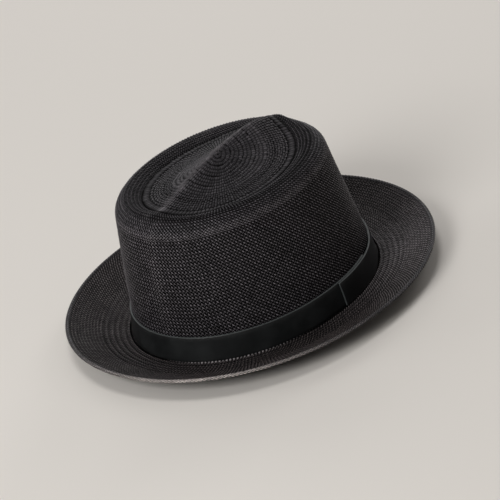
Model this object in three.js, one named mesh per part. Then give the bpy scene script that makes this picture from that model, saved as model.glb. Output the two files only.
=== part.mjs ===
// Straw fedora: a woven straw hat with a ridged, unpinched crown, an upturned
// brim with a rolled edge, and a leather band whose ends lap at the wearer's left.
// Millimetres, +Z up. The front of the hat is -Y, the wearer's left is +X.
import * as THREE from "three";
import { mergeVertices } from "three/addons/utils/BufferGeometryUtils.js";

// Driving dimensions.
const HEAD_LENGTH = 102.1;       // half length of the crown's foot, outside
const HEAD_WIDTH = 85.5;         // half width of the crown's foot, outside
const HEAD_SHIFT = 1.2;          // the crown's foot sits this far behind the brim's middle
const STRAW = 1.6;               // thickness of the crown's woven wall
const BRIM_STRAW = 1.8;          // thickness of the brim
const LEATHER = 1.6;             // thickness of the leather strip
const GAP = 0.3;                 // clear space between neighbouring pieces
const OVAL = 2.06;               // exponent of every oval, 2 is a true ellipse
const SEGMENTS = 64;             // columns round the crown and the brim

// The crown's outside, one row for each ring from the foot to the middle of the top.
// length and width are half sizes, shift is the ring's place behind the brim's middle,
// up is its height above the foot, before the ridge is added.
const CROWN_LEVELS = [
  { name: "foot", length: HEAD_LENGTH, width: HEAD_WIDTH, shift: HEAD_SHIFT, up: 0 },
  { name: "band_top", length: 99.3, width: 82.9, shift: 1.1, up: 19.4 },
  { name: "wall_low", length: 96.8, width: 80.3, shift: -0.3, up: 40 },
  { name: "wall_middle", length: 94.3, width: 77.6, shift: -1.4, up: 60.5 },
  { name: "wall_high", length: 91.5, width: 74.8, shift: -2.4, up: 81 },
  { name: "below_shoulder", length: 89.5, width: 72.7, shift: -3.0, up: 95.8 },
  { name: "shoulder", length: 88.5, width: 71.7, shift: -3.2, up: 101.3 },
  { name: "bevel", length: 86.0, width: 70.0, shift: -3.3, up: 104.9 },
  { name: "rim", length: 82.2, width: 67.0, shift: -3.3, up: 107.6 },
  { name: "step_1", length: 79.2, width: 64.2, shift: -3.3, up: 108.5 },
  { name: "step_2", length: 76.2, width: 61.4, shift: -3.3, up: 108.3 },
  { name: "step_3", length: 73.2, width: 58.6, shift: -3.3, up: 107.6 },
  { name: "dish_edge", length: 69.4, width: 55.0, shift: -3.3, up: 105.6 },
  { name: "dish_outer", length: 62, width: 48.5, shift: -3.3, up: 104.0 },
  { name: "dish_middle", length: 49, width: 37.5, shift: -3.3, up: 103.4 },
  { name: "dish_inner", length: 35, width: 26, shift: -3.3, up: 103.2 },
  { name: "weave_start", length: 20, width: 14.5, shift: -3.3, up: 103.2 },
  { name: "weave_eye", length: 8, width: 5.5, shift: -3.3, up: 103.2 },
];
const DISH_UP = 103.2;           // height of the dished top beside the ridge
const RIDGE_WIDTH = 27;          // width over which a flank of the ridge dies out
const RIDGE_ROUND = 1.5;         // radius of the ridge's crest

// The crest of the ridge, from the front of the top to its back, above the foot.
const RIDGE_CREST = [
  { y: -82, up: 106.4 },
  { y: -70, up: 106.8 },
  { y: -59, up: 109.0 },
  { y: -39, up: 115.6 },
  { y: -19, up: 120.4 },
  { y: 1, up: 123.6 },
  { y: 21, up: 125.4 },
  { y: 41, up: 125.4 },
  { y: 58, up: 120.8 },
  { y: 70, up: 113.0 },
  { y: 80, up: 106.6 },
  { y: 90, up: 104.0 },
];

// The brim, one row for each ring from the crown's foot to the rolled edge.
// across is the share of the brim's width, lift the share of its rise,
// half is half the thickness there.
const FLAT = BRIM_STRAW / 2;
const BRIM_RINGS = [
  { name: "foot", across: 0, lift: 0, half: FLAT },
  { name: "break", across: 0.11, lift: 0, half: FLAT },
  { name: "curl", across: 0.22, lift: 0.05, half: FLAT },
  { name: "inner_third", across: 0.40, lift: 0.20, half: FLAT },
  { name: "middle", across: 0.60, lift: 0.44, half: FLAT },
  { name: "outer_third", across: 0.80, lift: 0.72, half: FLAT },
  { name: "hem", across: 0.925, lift: 0.90, half: FLAT },
  { name: "roll_in", across: 0.94, lift: 0.92, half: 1.3 },
  { name: "roll", across: 0.968, lift: 0.96, half: 1.6 },
  { name: "roll_out", across: 0.992, lift: 0.99, half: 1.15 },
  { name: "edge", across: 1, lift: 1, half: 0.4 },
];
const BRIM = { length: 150.3, width: 136.9, riseFront: 14.8, riseSide: 14.8, riseBack: 17.1 };

// The leather strip. The angles go round the hat from the front towards the wearer's
// left: the inner end starts the turn, the outer end lies over it. ramp is the stretch
// in which the outer end climbs on top.
const BAND = { height: 19.4, outerEnd: 94, innerEnd: 118, ramp: 26, steps: 96, chamfer: 0.35 };
const LAP = BAND.innerEnd - BAND.outerEnd;
const TURN = 360 + LAP;

/** The row of a table with a name. */
function rowOf(rows, name) {
  return rows.findIndex((row) => row.name === name);
}

const RIM_ROW = rowOf(CROWN_LEVELS, "rim");
const DISH_ROW = rowOf(CROWN_LEVELS, "dish_edge");
const BAND_ROW = rowOf(CROWN_LEVELS, "band_top");
const LAST_ROW = CROWN_LEVELS.length - 1;

/** Smooth curve through one column of a table, at a fractional row. */
function along(rows, column, place) {
  const last = rows.length - 1;
  const row = Math.min(Math.floor(place), last - 1);
  const value = (k) => rows[Math.min(Math.max(k, 0), last)][column];
  const t = place - row;
  const slopeIn = (value(row + 1) - value(row - 1)) / 2;
  const slopeOut = (value(row + 2) - value(row)) / 2;
  const rise = value(row + 1) - value(row);
  const cubic = slopeIn + slopeOut - 2 * rise;
  const square = 3 * rise - 2 * slopeIn - slopeOut;
  return ((cubic * t + square) * t + slopeIn) * t + value(row);
}

/** Height of the ridge's crest at a place between the front and the back. */
function crestAt(y) {
  const last = RIDGE_CREST.length - 1;
  const inside = THREE.MathUtils.clamp(y, RIDGE_CREST[0].y, RIDGE_CREST[last].y);
  const next = RIDGE_CREST.findIndex((point) => point.y > inside);
  const row = next < 1 ? last - 1 : next - 1;
  const reach = RIDGE_CREST[row + 1].y - RIDGE_CREST[row].y;
  return along(RIDGE_CREST, "up", row + (inside - RIDGE_CREST[row].y) / reach);
}

/** Point of an oval in plan: half length, half width, angle from the front. */
function ovalPoint(length, width, angle) {
  const c = Math.cos(angle);
  const s = Math.sin(angle);
  const k = (Math.abs(c) ** OVAL + Math.abs(s) ** OVAL) ** (-1 / OVAL);
  return new THREE.Vector2(width * s * k, -length * c * k);
}

/** How far the ridge lifts the top at a point of its plan. */
function ridgeLift(x, y) {
  const height = Math.max(0, crestAt(y) - DISH_UP);
  const away = Math.hypot(x, RIDGE_ROUND) - RIDGE_ROUND;
  return height * (1 - Math.tanh(away / RIDGE_WIDTH));
}

/** Point of the crown's outside at a fractional row and an angle. */
function crownPoint(place, angle) {
  const at = (column) => along(CROWN_LEVELS, column, place);
  const plan = ovalPoint(at("length"), at("width"), angle);
  plan.y += at("shift");
  const inside = THREE.MathUtils.smoothstep(place, RIM_ROW - 1, DISH_ROW);
  const foot = BRIM_STRAW + GAP;
  const up = foot + at("up") + inside * ridgeLift(plan.x, plan.y);
  return new THREE.Vector3(plan.x, plan.y, up);
}

/** Level direction straight out of the wall, at a point of the crown. */
function outFrom({ x, y }) {
  const out = new THREE.Vector3(x / HEAD_WIDTH ** 2, (y - HEAD_SHIFT) / HEAD_LENGTH ** 2, 0);
  return out.normalize();
}

/** Point of the crown's inside, one wall in from the outside. */
function crownInside(place, angle) {
  const here = crownPoint(place, angle);
  if (place === 0) return here.addScaledVector(outFrom(here), -STRAW);
  const step = 1e-3;
  const round = crownPoint(place, angle + step).sub(crownPoint(place, angle - step));
  const above = crownPoint(Math.min(place + step, LAST_ROW), angle);
  const up = above.sub(crownPoint(place - step, angle));
  return here.addScaledVector(round.cross(up).normalize(), -STRAW);
}

/** Closes a geometry: one vertex at each place and no collapsed triangles. */
function closeUp(geometry) {
  geometry.deleteAttribute("uv");
  geometry.deleteAttribute("normal");
  const merged = mergeVertices(geometry, 1e-3);
  const index = Array.from(merged.index.array);
  const kept = [];
  for (let i = 0; i < index.length; i += 3) {
    const [a, b, c] = index.slice(i, i + 3);
    if (a !== b && b !== c && c !== a) kept.push(a, b, c);
  }
  merged.setIndex(kept);
  merged.computeVertexNormals();
  return merged;
}

/** Turns a profile round the axis, then sets each of its points by a blocking function. */
function turnAndBlock(profile, block) {
  const points = profile.map(({ onAxis }, k) => new THREE.Vector2(onAxis ? 0 : 1, k));
  const geometry = new THREE.LatheGeometry(points, SEGMENTS);
  const position = geometry.attributes.position;
  for (let column = 0; column <= SEGMENTS; column += 1) {
    const angle = ((column % SEGMENTS) / SEGMENTS) * 2 * Math.PI;
    profile.forEach((point, k) => {
      const { x, y, z } = block(point, angle);
      position.setXYZ(column * profile.length + k, x, y, z);
    });
  }
  return closeUp(geometry);
}

/** The crown: a hollow woven shell, open at its foot, ridged along the top. */
function makeCrown() {
  const outside = CROWN_LEVELS.map((level, row) => ({ row, inner: false }));
  const inside = outside.map(({ row }) => ({ row, inner: true })).reverse();
  const middle = { row: LAST_ROW, onAxis: true };
  const profile = [
    { ...middle, inner: true },
    ...inside,
    ...outside,
    { ...middle, inner: false },
  ];
  const eyeY = CROWN_LEVELS[LAST_ROW].shift;
  const eyeUp = BRIM_STRAW + GAP + crestAt(eyeY);
  return turnAndBlock(profile, ({ row, inner, onAxis }, angle) => {
    if (onAxis) return new THREE.Vector3(0, eyeY, inner ? eyeUp - STRAW : eyeUp);
    return inner ? crownInside(row, angle) : crownPoint(row, angle);
  });
}

/** Rise of the brim's edge above its foot, round the hat. */
function brimRise(angle) {
  const c = Math.cos(angle);
  const end = c > 0 ? BRIM.riseFront : BRIM.riseBack;
  return BRIM.riseSide + (end - BRIM.riseSide) * c * c;
}

/** The brim: a flat break that the hat rests on, an upward curl and a rolled edge. */
function makeBrim() {
  const above = BRIM_RINGS.map((ring) => ({ ring, face: 1 }));
  const below = BRIM_RINGS.map((ring) => ({ ring, face: -1 })).reverse();
  return turnAndBlock([...above, ...below, above[0]], ({ ring, face }, angle) => {
    const foot = ovalPoint(HEAD_LENGTH - STRAW, HEAD_WIDTH - STRAW, angle);
    foot.y += HEAD_SHIFT;
    const plan = foot.lerp(ovalPoint(BRIM.length, BRIM.width, angle), ring.across);
    const middle = FLAT + brimRise(angle) * ring.lift;
    return new THREE.Vector3(plan.x, plan.y, middle + face * ring.half);
  });
}

/** Space between the wall and the strip: the outer end climbs over the inner end. */
function bandStandoff(turned) {
  const lapStart = TURN - LAP;
  const climb = THREE.MathUtils.smoothstep(turned, lapStart - BAND.ramp, lapStart);
  return GAP + climb * (LEATHER + GAP);
}

/** The band: one leather strip bent once round the crown, with lapped ends. */
function makeBand() {
  const { height, chamfer } = BAND;
  const section = new THREE.Shape([
    new THREE.Vector2(0, 0),
    new THREE.Vector2(LEATHER - chamfer, 0),
    new THREE.Vector2(LEATHER, chamfer),
    new THREE.Vector2(LEATHER, height - chamfer),
    new THREE.Vector2(LEATHER - chamfer, height),
    new THREE.Vector2(0, height),
  ]);
  const options = { depth: 1, steps: BAND.steps, bevelEnabled: false };
  const geometry = new THREE.ExtrudeGeometry(section, options);
  const position = geometry.attributes.position;
  for (let k = 0; k < position.count; k += 1) {
    const turned = position.getZ(k) * TURN;
    const angle = THREE.MathUtils.degToRad(BAND.innerEnd - turned);
    const place = (BAND_ROW * position.getY(k)) / CROWN_LEVELS[BAND_ROW].up;
    const wall = crownPoint(place, angle);
    wall.addScaledVector(outFrom(wall), bandStandoff(turned) + position.getX(k));
    position.setXYZ(k, wall.x, wall.y, wall.z);
  }
  return closeUp(geometry);
}

/** Turns every triangle round when a geometry came out facing in. */
function faceOut(geometry) {
  const { index } = geometry;
  const { position } = geometry.attributes;
  const corner = (k) => new THREE.Vector3().fromBufferAttribute(position, index.getX(k));
  let volume = 0;
  for (let i = 0; i < index.count; i += 3) {
    volume += corner(i).dot(corner(i + 1).cross(corner(i + 2)));
  }
  if (volume > 0) return geometry;
  for (let i = 0; i < index.count; i += 3) {
    const held = index.getX(i);
    index.setX(i, index.getX(i + 1));
    index.setX(i + 1, held);
  }
  geometry.computeVertexNormals();
  return geometry;
}

/** A named mesh with its own material. */
function makePiece(name, geometry, look) {
  const material = new THREE.MeshStandardMaterial({ ...look, metalness: 0 });
  const mesh = new THREE.Mesh(faceOut(geometry), material);
  mesh.name = name;
  return mesh;
}

const hat = new THREE.Group();
hat.name = "straw_fedora";
hat.add(makePiece("crown", makeCrown(), { color: 0x2c282b, roughness: 0.62 }));
hat.add(makePiece("brim", makeBrim(), { color: 0x2e2929, roughness: 0.66 }));
hat.add(makePiece("hat_band", makeBand(), { color: 0x1c2020, roughness: 0.42 }));

export default hat;
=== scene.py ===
"""A black straw hat: a woven crown with a raised ridge, an upturned brim with a rolled
edge, and a leather band whose ends lap at the wearer's left.

Metres, +Z up. The front of the hat is -Y and the wearer's left is +X. Sizes in the tables
are millimetres, as a hatter would give them, and are turned to metres by MM.
"""

import logging
import math
from dataclasses import dataclass
from enum import Enum
from functools import partial
from typing import Any, Callable, ClassVar

import bmesh
import bpy
import numpy as np
from mathutils import Matrix, Vector


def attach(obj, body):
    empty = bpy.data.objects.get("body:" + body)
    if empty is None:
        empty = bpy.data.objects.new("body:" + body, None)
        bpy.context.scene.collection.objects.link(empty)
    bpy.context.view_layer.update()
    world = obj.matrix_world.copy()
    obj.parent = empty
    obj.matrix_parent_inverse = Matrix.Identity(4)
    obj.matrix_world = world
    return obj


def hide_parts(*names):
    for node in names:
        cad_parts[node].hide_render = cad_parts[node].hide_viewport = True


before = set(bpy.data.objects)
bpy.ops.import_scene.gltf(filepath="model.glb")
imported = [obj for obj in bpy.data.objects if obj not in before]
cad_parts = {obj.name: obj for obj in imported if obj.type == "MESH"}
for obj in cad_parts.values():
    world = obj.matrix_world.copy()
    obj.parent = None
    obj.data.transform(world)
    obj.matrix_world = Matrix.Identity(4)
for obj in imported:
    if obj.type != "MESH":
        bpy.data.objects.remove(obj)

log = logging.getLogger("hat")

MM = 0.001
TURN = 2 * math.pi
DEGREE = math.pi / 180
TINY = 1e-16
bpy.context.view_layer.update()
BODY = "root"

# The block that the crown is pulled over, ring by ring from the foot to the middle of the
# top: half length, half width, shift back, height above the foot. The last ring closes it.
CROWN_LEVELS = MM * np.array([
    (102.1, 85.5, 1.2, 0.0),
    (99.3, 82.9, 1.1, 19.4),
    (96.8, 80.3, -0.3, 40.0),
    (94.3, 77.6, -1.4, 60.5),
    (91.5, 74.8, -2.4, 81.0),
    (89.5, 72.7, -3.0, 95.8),
    (88.5, 71.7, -3.2, 101.3),
    (86.0, 70.0, -3.3, 104.9),
    (82.2, 67.0, -3.3, 107.6),
    (79.2, 64.2, -3.3, 108.5),
    (76.2, 61.4, -3.3, 108.3),
    (73.2, 58.6, -3.3, 107.6),
    (69.4, 55.0, -3.3, 105.6),
    (62.0, 48.5, -3.3, 104.0),
    (49.0, 37.5, -3.3, 103.4),
    (35.0, 26.0, -3.3, 103.2),
    (20.0, 14.5, -3.3, 103.2),
    (8.0, 5.5, -3.3, 103.2),
    (0.02, 0.02, -3.3, 103.2),
])
BAND_TOP, RIM, DISH_EDGE, MIDDLE = 1, 8, 12, 18

# The crest of the ridge from the front of the top to its back: place, height over the foot.
RIDGE_CREST = MM * np.array([
    (-82, 106.4), (-70, 106.8), (-59, 109.0), (-39, 115.6), (-19, 120.4), (1, 123.6),
    (21, 125.4), (41, 125.4), (58, 120.8), (70, 113.0), (80, 106.6), (90, 104.0),
])

# The brim from the crown's foot to its rolled edge: share of its width, share of its rise.
BRIM_RINGS = np.array([
    (0, 0), (0.11, 0), (0.22, 0.05), (0.40, 0.20), (0.60, 0.44), (0.80, 0.72),
    (0.925, 0.90), (0.94, 0.92), (0.968, 0.96), (0.992, 0.99), (1, 1),
])

# What each number is multiplied by when numbers are mixed into a random value, and how far
# the mix is stretched before its fraction is taken.
MIXED_BY = (12.9898, 78.233, 37.719)
STRETCHED_BY = 43758.5453

Array = np.ndarray
Mesh = bpy.types.Mesh
Pair = tuple[float, float]
Colour = tuple[float, float, float, float]


def through(values: Array, place: Array) -> Array:
    """Runs a smooth curve through a row of values.

    Args:
        values: the values at whole places.
        place: fractional places to read.

    Returns:
        The curve's value at each place.
    """
    last = len(values) - 1
    row = np.clip(np.floor(place).astype(int), 0, last - 1)
    before, here, after, beyond = (values[np.clip(row + k, 0, last)] for k in (-1, 0, 1, 2))
    t = place - row
    slope_in, slope_out, rise = (after - before) / 2, (beyond - here) / 2, after - here
    cubic = slope_in + slope_out - 2 * rise
    square = 3 * rise - 2 * slope_in - slope_out
    return ((cubic * t + square) * t + slope_in) * t + here


def ease(value: Array, low: float, high: float) -> Array:
    """Goes smoothly from 0 at low to 1 at high."""
    t = np.clip((value - low) / (high - low), 0, 1)
    return t * t * (3 - 2 * t)


def scatter(*numbers: Array) -> Array:
    """Gives an even random value from 0 to 1 for each set of whole numbers."""
    mixed = sum(np.asarray(number) * by for number, by in zip(numbers, MIXED_BY))
    return np.sin(mixed) * STRETCHED_BY % 1


def hump(off: Array, half: float) -> Array:
    """Gives 1 at zero and falls away smoothly on both sides."""
    return np.exp(-(off / half) ** 2)


def hump_at(angle: Array, at: float, half: float) -> Array:
    """Gives 1 at one angle and falls away smoothly on both sides, the short way round."""
    return hump((angle + math.pi - at) % TURN - math.pi, half)


def opposite(angle: Array) -> Array:
    """Gives 0 at no angle and rises smoothly to 1 at half a turn."""
    return 0.5 - 0.5 * np.cos(angle)


def direction(turned: float, raised: float) -> Vector:
    """Gives the direction at an angle round the hat from its front and an angle upwards."""
    level = math.cos(raised)
    return Vector((math.sin(turned) * level, -math.cos(turned) * level, math.sin(raised)))


def add_object(name: str, data: Any) -> bpy.types.Object:
    """Adds an object to the scene."""
    made = bpy.data.objects.new(name, data)
    bpy.context.scene.collection.objects.link(made)
    return made


def into_mesh(work: bmesh.types.BMesh, name: str) -> Mesh:
    """Turns finished work into a mesh."""
    mesh = bpy.data.meshes.new(name)
    work.to_mesh(mesh)
    work.free()
    return mesh


def points_of(mesh: Mesh) -> Array:
    """Reads a mesh's points: one row of x, y, z for each."""
    flat = np.empty(len(mesh.vertices) * 3)
    mesh.vertices.foreach_get("co", flat)
    return flat.reshape(-1, 3)


def move_points(mesh: Mesh, places: Array) -> None:
    """Moves a mesh's points to new places."""
    mesh.vertices.foreach_set("co", places.astype(np.float32).ravel())


def write(mesh: Mesh, name: str, values: Array) -> None:
    """Writes one number for each vertex under a name."""
    layer = mesh.attributes.new(name, "FLOAT", "POINT")
    layer.data.foreach_set("value", values.astype(np.float32))


def read(mesh: Mesh, name: str) -> Array:
    """Reads the number that each vertex carries under a name."""
    values = np.empty(len(mesh.vertices))
    mesh.attributes[name].data.foreach_get("value", values)
    return values


@dataclass(frozen=True)
class Oval:
    """The plan curve that every ring of the hat follows."""

    exponent: float = 2.06
    samples: int = 720

    def point(self, length: Any, width: Any, angle: Array) -> tuple[Array, Array]:
        """Finds points of an oval.

        Args:
            length: half length.
            width: half width.
            angle: angle from the front towards the wearer's left.

        Returns:
            The x and the y of each point.
        """
        c, s = np.cos(angle), np.sin(angle)
        k = (np.abs(c) ** self.exponent + np.abs(s) ** self.exponent) ** (-1 / self.exponent)
        return width * s * k, -length * c * k

    def spread(self, length: float, width: float, share: Array) -> Array:
        """Shares the way round an oval out evenly by length.

        Args:
            length: half length of the oval.
            width: half width of the oval.
            share: shares of the way round, from the front.

        Returns:
            The angle at each share.
        """
        angle = np.linspace(0, TURN, self.samples + 1)
        x, y = self.point(length, width, angle)
        run = np.concatenate([[0], np.cumsum(np.hypot(np.diff(x), np.diff(y)))])
        whole = np.floor(share)
        return np.interp(share - whole, run / run[-1], angle) + whole * TURN


OVAL = Oval()


class Block:
    """A shape that straw is pulled over. Its places are counted from its foot."""

    nudge: ClassVar[float] = 1e-3

    def measure(self, places: Array, steps: Array, oval: Pair) -> None:
        """Notes the straw between one place and the next, and the oval shared out round it."""
        self.places, self.runs = places, np.concatenate([[0], np.cumsum(steps)])
        self.oval = oval

    def run_at(self, place: float) -> float:
        """Gives the length of straw from the foot to a place."""
        return float(np.interp(place, self.places, self.runs))

    def place_at(self, run: Array) -> Array:
        """Gives the place that a length of straw from the foot reaches."""
        return np.interp(run, self.runs, self.places)

    def angle_at(self, share: Array) -> Array:
        """Gives the angle at a share of the way round."""
        return OVAL.spread(*self.oval, share)


@dataclass
class CrownBlock(Block):
    """The shape of the crown: a tapered wall, a rounded rim and a ridged, dished top."""

    foot: float = 2.1 * MM
    dish_up: float = 103.2 * MM
    ridge_width: float = 27 * MM
    ridge_round: float = 2.0 * MM
    heart: float = 3.5 * MM
    crest_width: float = 2.2 * MM
    crest_width_far: float = 5.0 * MM
    crest_flat: float = 0.95
    # between which heights over the dish and which places along the ridge its crest sets in,
    # and between which places its painted highlight grows from its least to full strength
    crest_rises: Pair = (1 * MM, 4 * MM)
    crest_front: Pair = (-62 * MM, -54 * MM)
    crest_sheen_grows: Pair = (-74 * MM, -56 * MM)
    # a painted highlight along the crest: how strong it is, and the share left at its front
    crest_sheen: float = 0.40
    crest_least_sheen: float = 0.3
    crease_height: float = 0.9 * MM
    crease_width: float = 0.055
    crease_low: float = 0.06
    crease_high: float = 0.16
    crease_starts: Pair = (0.6, 2.5)
    # a painted highlight down the crease
    crease_sheen: float = 0.30
    # a painted highlight along the shoulder: where it lies, how wide and how strong it is
    shoulder_place: float = 5.9
    shoulder_width: float = 0.5
    shoulder_sheen: float = 0.40
    # a painted sheen on the far half of the rim's dished side, away from the near side, and on the
    # back of the dish
    painted_sheen: float = 0.16
    near_side: float = 50 * DEGREE
    dish_sheen: float = 0.13
    dish_sheen_at: float = 142 * DEGREE
    dish_sheen_half: float = 44 * DEGREE
    samples: int = 600

    def __post_init__(self) -> None:
        """Measures the way up the wall and over the top."""
        places = np.linspace(0, MIDDLE, self.samples)
        length, width, _, up = self.ring(places)
        mean = (length + width) / 2
        steps = np.hypot(np.diff(mean), np.diff(up))
        self.measure(places, steps, (CROWN_LEVELS[0, 0], CROWN_LEVELS[0, 1]))

    def ring(self, place: Array) -> list[Array]:
        """Gives half length, half width, shift and height of the ring at a place."""
        return [through(CROWN_LEVELS[:, column], place) for column in range(4)]

    def ridge(self, x: Array, y: Array) -> Array:
        """Gives how far the ridge lifts the top at points of its plan."""
        at = np.interp(y, RIDGE_CREST[:, 0], np.arange(len(RIDGE_CREST)))
        height = np.maximum(0, through(RIDGE_CREST[:, 1], at) - self.dish_up)
        away = np.hypot(x, self.ridge_round) - self.ridge_round
        return height * (1 - np.tanh(away / self.ridge_width))

    def point(self, place: Array, angle: Array) -> Array:
        """Finds points of the crown's outside.

        Args:
            place: fractional ring numbers.
            angle: angles from the front.

        Returns:
            One row of x, y, z for each.
        """
        length, width, shift, up = self.ring(place)
        fold = self.crease_height * self.crease(place, angle)
        x, y = OVAL.point(length + fold, width + fold, angle)
        x = x + self.heart * ease(place, DISH_EDGE, MIDDLE - 1)
        y = y + shift
        z = self.foot + up + ease(place, RIM - 1, DISH_EDGE) * self.ridge(x, y)
        return np.stack([x, y, z], axis=-1)

    def crease(self, place: Array, angle: Array) -> Array:
        """Gives how near points lie to the crease up the front, from 0 to 1."""
        middle = self.crease_low + (self.crease_high - self.crease_low) * place / RIM
        near = hump_at(angle, middle, self.crease_width)
        return near * ease(place, *self.crease_starts) * (1 - ease(place, RIM, DISH_EDGE))

    def crest(self, points: Array) -> Array:
        """Gives how near points lie to the crest of the ridge, from 0 to 1."""
        x, y, z = points.T
        dish = self.foot + self.dish_up
        raised = ease(z, *(dish + rise for rise in self.crest_rises))
        width = np.where(x < 0, self.crest_width_far, self.crest_width)
        return hump(x, width) * raised * ease(-y, *self.crest_front)

    def skin(self, run: Array, angle: Array, lift: Array) -> Array:
        """Lays points on the crown.

        Args:
            run: lengths of straw from the foot.
            angle: angles from the front.
            lift: heights over the surface.

        Returns:
            One row of x, y, z for each.
        """
        place = self.place_at(run)
        low, high = np.maximum(place - self.nudge, 0), np.minimum(place + self.nudge, MIDDLE)
        up = self.point(high, angle) - self.point(low, angle)
        round_ = self.point(place, angle + self.nudge) - self.point(place, angle - self.nudge)
        out = np.cross(round_, up)
        size = np.linalg.norm(out, axis=-1, keepdims=True)
        out = np.where(size > TINY, out / np.maximum(size, TINY), (0, 0, 1))
        seat = self.point(place, angle)
        return seat + out * (np.asarray(lift) * (1 - self.crest_flat * self.crest(seat)))[:, None]

    def gauge_sheen_and_wear(self, run: Array, angle: Array) -> Array:
        """Gives how far the straw is painted paler: a painted highlight on the crease, the
        shoulder and the crest, and a painted sheen on the rim's far half and the back of the dish.

        Args:
            run: lengths of straw from the foot.
            angle: angles from the front.

        Returns:
            A share from 0 to 1 for each.
        """
        place = self.place_at(run)
        shoulder = hump(place - self.shoulder_place, self.shoulder_width)
        sheen_and_wear = self.crease_sheen * self.crease(place, angle) + self.shoulder_sheen * shoulder
        points = self.point(place, angle)
        least = self.crest_least_sheen
        along = least + (1 - least) * ease(points[:, 1], *self.crest_sheen_grows)
        inner = ease(place, RIM, RIM + 1) * (1 - ease(place, DISH_EDGE - 0.5, DISH_EDGE + 0.5))
        painted_sheen = self.painted_sheen * inner * opposite(angle - self.near_side)
        dished = ease(place, DISH_EDGE - 1, DISH_EDGE)
        dished = dished * (1 - ease(place, DISH_EDGE + 2, DISH_EDGE + 4))
        behind = hump_at(angle, self.dish_sheen_at, self.dish_sheen_half)
        painted_sheen = painted_sheen + self.dish_sheen * dished * behind
        return sheen_and_wear + painted_sheen + self.crest_sheen * self.crest(points) * along

    def rubbed(self, run: Array, angle: Array) -> Array:
        """Gives how far the weave is rubbed even, from 0 to 1, along the crest of the ridge."""
        return self.crest(self.point(self.place_at(run), angle))


class Side(Enum):
    """The two faces of the brim."""

    TOP = 1
    UNDER = -1


@dataclass
class BrimBlock(Block):
    """The shape of the brim: flat at the foot, curled up and rolled at the edge."""

    foot_length: float = 100.5 * MM
    foot_width: float = 83.9 * MM
    shift: float = 1.2 * MM
    length: float = 150.3 * MM
    width: float = 136.9 * MM
    rise_front: float = 14.8 * MM
    rise_side: float = 14.8 * MM
    rise_back: float = 17.1 * MM
    half: float = 0.9 * MM
    roll_across: float = 0.971
    roll_half: float = 1.55 * MM
    climb: float = 0.40 * MM
    climbs_over: Pair = (0.925, 0.955)
    samples: int = 400

    def __post_init__(self) -> None:
        """Measures the way from the foot to the edge."""
        shares = np.linspace(0, 1, self.samples)
        at = self.point(shares, np.full(self.samples, math.pi / 4), 0)
        oval = (self.foot_length + self.length) / 2, (self.foot_width + self.width) / 2
        self.measure(shares, np.linalg.norm(np.diff(at, axis=0), axis=1), oval)

    def rise(self, angle: Array) -> Array:
        """Gives the rise of the edge above the foot, round the hat."""
        c = np.cos(angle)
        end = np.where(c > 0, self.rise_front, self.rise_back)
        return self.rise_side + (end - self.rise_side) * c * c

    def point(self, across: Array, angle: Array, side: float) -> Array:
        """Finds points of the brim.

        Args:
            across: shares of the brim's width.
            angle: angles from the front.
            side: 1 for its top, -1 for its underside, 0 for the middle of the straw.

        Returns:
            One row of x, y, z for each.
        """
        x0, y0 = OVAL.point(self.foot_length, self.foot_width, angle)
        x1, y1 = OVAL.point(self.length, self.width, angle)
        y0 = y0 + self.shift
        place = np.interp(across, BRIM_RINGS[:, 0], range(len(BRIM_RINGS)))
        lift = through(BRIM_RINGS[:, 1], place)
        z = self.half * (1 + side) + self.rise(angle) * lift
        return np.stack([x0 + (x1 - x0) * across, y0 + (y1 - y0) * across, z], axis=-1)

    def out(self, across: Array, angle: Array) -> Array:
        """Gives the direction straight up from the straw at points of the brim."""
        step = self.nudge
        along = self.point(across + step, angle, 0) - self.point(across - step, angle, 0)
        round_ = self.point(across, angle + step, 0) - self.point(across, angle - step, 0)
        out = np.cross(along, round_)
        return out / np.linalg.norm(out, axis=-1, keepdims=True)

    def skin(self, run: Array, angle: Array, lift: Array, side: Side) -> Array:
        """Lays points on one face of the brim.

        Args:
            run: lengths of straw from the foot.
            angle: angles from the front.
            lift: heights over that face.
            side: the face.

        Returns:
            One row of x, y, z for each.
        """
        across = self.place_at(run)
        climb = self.climb * ease(across, *self.climbs_over)
        off = ((lift + climb) * side.value)[:, None]
        return self.point(across, angle, side.value) + self.out(across, angle) * off

    def roll(self, turned: Array, angle: Array, lift: Array) -> Array:
        """Lays points on the rolled edge.

        Args:
            turned: angles round the roll, from inwards over its top and outwards.
            angle: angles from the front.
            lift: heights over the roll.

        Returns:
            One row of x, y, z for each.
        """
        across = np.full(len(angle), self.roll_across)
        up = self.out(across, angle)
        away = self.point(across + self.nudge, angle, 0) - self.point(across, angle, 0)
        away /= np.linalg.norm(away, axis=-1, keepdims=True)
        size = (self.roll_half + lift)[:, None]
        spoke = -np.cos(turned)[:, None] * away + np.sin(turned)[:, None] * up
        return self.point(across, angle, 0) + spoke * size


CROWN = CrownBlock()
BRIM = BrimBlock()

# what measures painted sheen, wear and rubbing at runs and angles, and what lays runs, angles and
# lifts
Gauge = Callable[[Array, Array], Array]
Lay = Callable[[Array, Array, Array], Array]


class Strands(Enum):
    """The two sets of strands: heavy ones run down to the wearer's left, light ones up to it.

    On the top of the crown heavy ones run in to the middle, and light ones round it.
    """

    HEAVY = -1
    LIGHT = 1


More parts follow.
